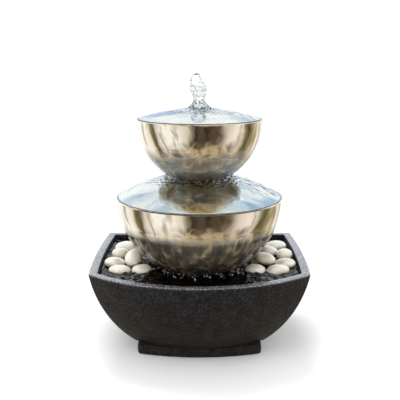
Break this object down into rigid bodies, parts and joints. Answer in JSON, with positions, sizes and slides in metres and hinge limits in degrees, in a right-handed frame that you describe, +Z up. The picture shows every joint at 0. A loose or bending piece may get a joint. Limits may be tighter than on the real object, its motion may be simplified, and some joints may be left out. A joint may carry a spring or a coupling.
{
  "type": "tabletop water fountain",
  "caption": "Two polished steel bowls with domed lids, one above the other, in a bow-fronted dark stone-look basin with pebbles; a hidden pump lifts water to a bubbling jet.",
  "frame": {"origin": "on the table under the middle of the basin's footprint, which is also the axis of both bowls", "axes": "+Z up, +X to the fountain's right as seen from the front, the bowed front faces -Y"},
  "size_m": [0.261, 0.228, 0.3298],
  "materials": {
    "stone_resin": "cast resin with stone filler, matte, fine pale speckle",
    "black_rubber": "moulded rubber, matte",
    "black_plastic": "moulded, fine texture",
    "pebble_stone": "tumbled cream pebble, wet and glossy",
    "pump_plastic": "moulded ABS, satin",
    "shaft_steel": "ground stainless rod",
    "bushing_ceramic": "fired, satin",
    "white_plastic": "moulded",
    "foam": "open-cell foam",
    "knob_plastic": "moulded, satin",
    "clear_tube": "translucent PVC tube",
    "polished_steel": "spun stainless steel, mirror polished",
    "nozzle_steel": "turned stainless steel",
    "water": "clear running water"
  },
  "bodies": {
    "root": {"basin": "stone_resin", "basin_feet": "black_rubber", "cable_grommet": "black_rubber", "pebble_deck": "black_plastic", "pebbles_left": "pebble_stone", "pebbles_right": "pebble_stone", "pedestal": "black_plastic", "lower_seat_ring": "black_rubber", "pump_body": "pump_plastic", "suction_cups": "black_rubber", "outlet_barb": "pump_plastic", "impeller_shaft": "shaft_steel", "rear_bushing": "bushing_ceramic"},
    "impeller": {"impeller": "white_plastic"},
    "pump_front": {"pump_cover": "pump_plastic", "front_bushing": "bushing_ceramic", "intake_sponge": "foam"},
    "flow_knob": {"flow_knob": "knob_plastic"},
    "lower_tier": {"feed_tube": "clear_tube", "lower_bowl": "polished_steel", "lower_bulkhead": "black_plastic", "lower_washer": "black_rubber", "lower_locknut": "black_plastic", "riser_tube": "clear_tube", "tier_coupler": "black_plastic", "lower_lid": "polished_steel", "upper_seat_ring": "black_rubber", "lower_water": "water"},
    "upper_tier": {"upper_bowl": "polished_steel", "upper_bulkhead": "black_plastic", "upper_washer": "black_rubber", "upper_locknut": "black_plastic", "nozzle_tube": "clear_tube", "upper_lid": "polished_steel", "nozzle": "nozzle_steel", "nozzle_nut": "black_plastic", "upper_water": "water", "water_jet": "water"}
  },
  "joints": [
    {"name": "lower_tier_lift", "type": "slide", "parent": "root", "child": "lower_tier", "axis": [0, 0, 1], "range_m": [0, 0.12]},
    {"name": "upper_tier_lift", "type": "slide", "parent": "lower_tier", "child": "upper_tier", "axis": [0, 0, 1], "range_m": [0, 0.06]},
    {"name": "impeller_spin", "type": "hinge", "parent": "root", "child": "impeller", "pos_m": [0, 0, 0.04], "axis": [0, 1, 0], "continuous": true},
    {"name": "cover_slide", "type": "slide", "parent": "root", "child": "pump_front", "axis": [0, -1, 0], "range_m": [0, 0.012]},
    {"name": "flow_knob_turn", "type": "hinge", "parent": "pump_front", "child": "flow_knob", "pos_m": [0.014, -0.008, 0.04], "axis": [0, -1, 0], "range_deg": [0, 90]}
  ]
}
